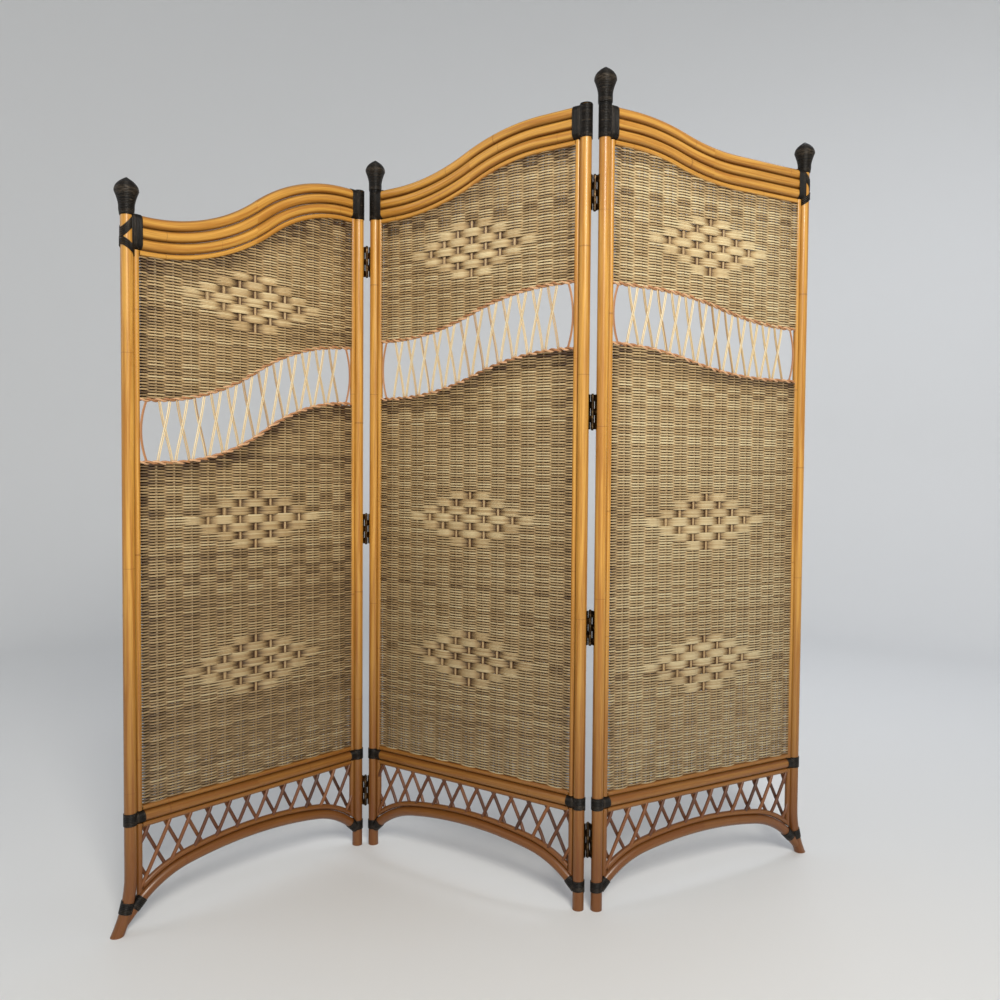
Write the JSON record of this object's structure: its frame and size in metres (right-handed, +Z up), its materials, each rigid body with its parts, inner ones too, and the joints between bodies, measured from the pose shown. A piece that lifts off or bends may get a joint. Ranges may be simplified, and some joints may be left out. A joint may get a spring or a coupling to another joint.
{
  "type": "folding screen",
  "caption": "Folding room divider of hinged rattan panels with a wave-shaped crest, woven fields, an openwork band and a lattice over an arched foot.",
  "frame": {"origin": "on the floor, under the middle of the box round the folded screen", "axes": "+Z up; +X along the middle panel to the right as seen from the front; the front faces -Y"},
  "size_m": [1.0422, 1.291, 1.8221],
  "materials": {
    "rattan_pole": "bent rattan poles under glossy honey varnish",
    "woven_rattan": "close weave of round rattan core, aged and nearly matt",
    "openwork_stake": "thin rattan stakes and rolled borders, satin",
    "lattice_rod": "thin rattan rods, darkened, satin",
    "wound_peel": "dark stained rattan peel wound in close turns, slight gloss",
    "bronzed_hinge": "dark aged brass"
  },
  "bodies": {
    "middle_panel": {"left_hinge_inner_leaves": "bronzed_hinge", "left_hinge_pins": "bronzed_hinge", "middle_panel_arch_rail": "rattan_pole", "middle_panel_foot_bindings": "wound_peel", "middle_panel_lattice_frame": "rattan_pole", "middle_panel_lattice_rods": "lattice_rod", "middle_panel_left_finial": "wound_peel", "middle_panel_left_post": "rattan_pole", "middle_panel_lower_weave": "woven_rattan", "middle_panel_mid_bindings": "wound_peel", "middle_panel_mid_rail": "rattan_pole", "middle_panel_openwork_band": "openwork_stake", "middle_panel_right_post": "rattan_pole", "middle_panel_top_bindings": "wound_peel", "middle_panel_top_rail_centre": "rattan_pole", "middle_panel_top_rail_lower": "rattan_pole", "middle_panel_top_rail_upper": "rattan_pole", "middle_panel_upper_weave": "woven_rattan", "middle_panel_weave_frame": "rattan_pole", "right_hinge_inner_leaves": "bronzed_hinge", "right_hinge_pins": "bronzed_hinge"},
    "left_panel": {"left_hinge_outer_leaves": "bronzed_hinge", "left_panel_arch_rail": "rattan_pole", "left_panel_foot_bindings": "wound_peel", "left_panel_lattice_frame": "rattan_pole", "left_panel_lattice_rods": "lattice_rod", "left_panel_left_finial": "wound_peel", "left_panel_left_post": "rattan_pole", "left_panel_lower_weave": "woven_rattan", "left_panel_mid_bindings": "wound_peel", "left_panel_mid_rail": "rattan_pole", "left_panel_openwork_band": "openwork_stake", "left_panel_right_post": "rattan_pole", "left_panel_top_bindings": "wound_peel", "left_panel_top_rail_centre": "rattan_pole", "left_panel_top_rail_lower": "rattan_pole", "left_panel_top_rail_upper": "rattan_pole", "left_panel_upper_weave": "woven_rattan", "left_panel_weave_frame": "rattan_pole"},
    "right_panel": {"right_hinge_outer_leaves": "bronzed_hinge", "right_panel_arch_rail": "rattan_pole", "right_panel_foot_bindings": "wound_peel", "right_panel_lattice_frame": "rattan_pole", "right_panel_lattice_rods": "lattice_rod", "right_panel_left_finial": "wound_peel", "right_panel_left_post": "rattan_pole", "right_panel_lower_weave": "woven_rattan", "right_panel_mid_bindings": "wound_peel", "right_panel_mid_rail": "rattan_pole", "right_panel_openwork_band": "openwork_stake", "right_panel_right_finial": "wound_peel", "right_panel_right_post": "rattan_pole", "right_panel_top_bindings": "wound_peel", "right_panel_top_rail_centre": "rattan_pole", "right_panel_top_rail_lower": "rattan_pole", "right_panel_top_rail_upper": "rattan_pole", "right_panel_upper_weave": "woven_rattan", "right_panel_weave_frame": "rattan_pole"}
  },
  "joints": [
    {"name": "left_fold", "type": "hinge", "parent": "middle_panel", "child": "left_panel", "pos_m": [-0.4145, 0.01583, 0.9], "axis": [0, 0, 1], "range_deg": [-83.8, 93.2]},
    {"name": "right_fold", "type": "hinge", "parent": "middle_panel", "child": "right_panel", "pos_m": [0.2225, 0.04483, 0.9], "axis": [0, 0, 1], "range_deg": [-65.3, 111.7]}
  ]
}
